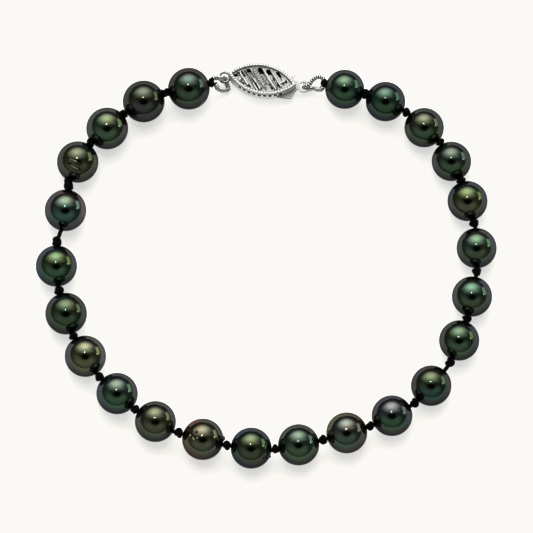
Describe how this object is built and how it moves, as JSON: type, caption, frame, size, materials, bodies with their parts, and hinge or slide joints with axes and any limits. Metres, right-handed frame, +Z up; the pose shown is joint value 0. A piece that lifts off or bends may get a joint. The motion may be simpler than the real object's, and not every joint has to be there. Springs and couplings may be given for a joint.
{
  "type": "pearl bracelet",
  "caption": "Knotted single-strand bracelet of dark round pearls on black silk, closed by a marquise fish-hook clasp with a pierced filigree front, lying flat in a loop.",
  "frame": {"origin": "middle of the loop's footprint, on the surface the pearls rest on", "axes": "+Z up from the surface, +Y from the middle of the loop to the clasp, +X from the clasp's closed end to its hook"},
  "size_m": [0.068, 0.063, 0.0062],
  "materials": {
    "pearl": "dark nacre with green overtones, high lustre",
    "silk": "black twisted silk",
    "white_gold": "polished white metal with milgrain edges"
  },
  "bodies": {
    "root": {"pearl_01": "pearl", "pearl_02": "pearl", "pearl_03": "pearl", "pearl_04": "pearl", "pearl_05": "pearl", "pearl_06": "pearl", "pearl_07": "pearl", "pearl_08": "pearl", "pearl_09": "pearl", "pearl_10": "pearl", "pearl_11": "pearl", "pearl_12": "pearl", "pearl_13": "pearl", "pearl_14": "pearl", "pearl_15": "pearl", "pearl_16": "pearl", "pearl_17": "pearl", "pearl_18": "pearl", "pearl_19": "pearl", "pearl_20": "pearl", "pearl_21": "pearl", "pearl_22": "pearl", "pearl_23": "pearl", "pearl_24": "pearl", "silk_thread": "silk", "clasp_body": "white_gold", "clasp_hook": "white_gold", "gimp_left": "white_gold", "gimp_right": "white_gold"}
  },
  "joints": []
}
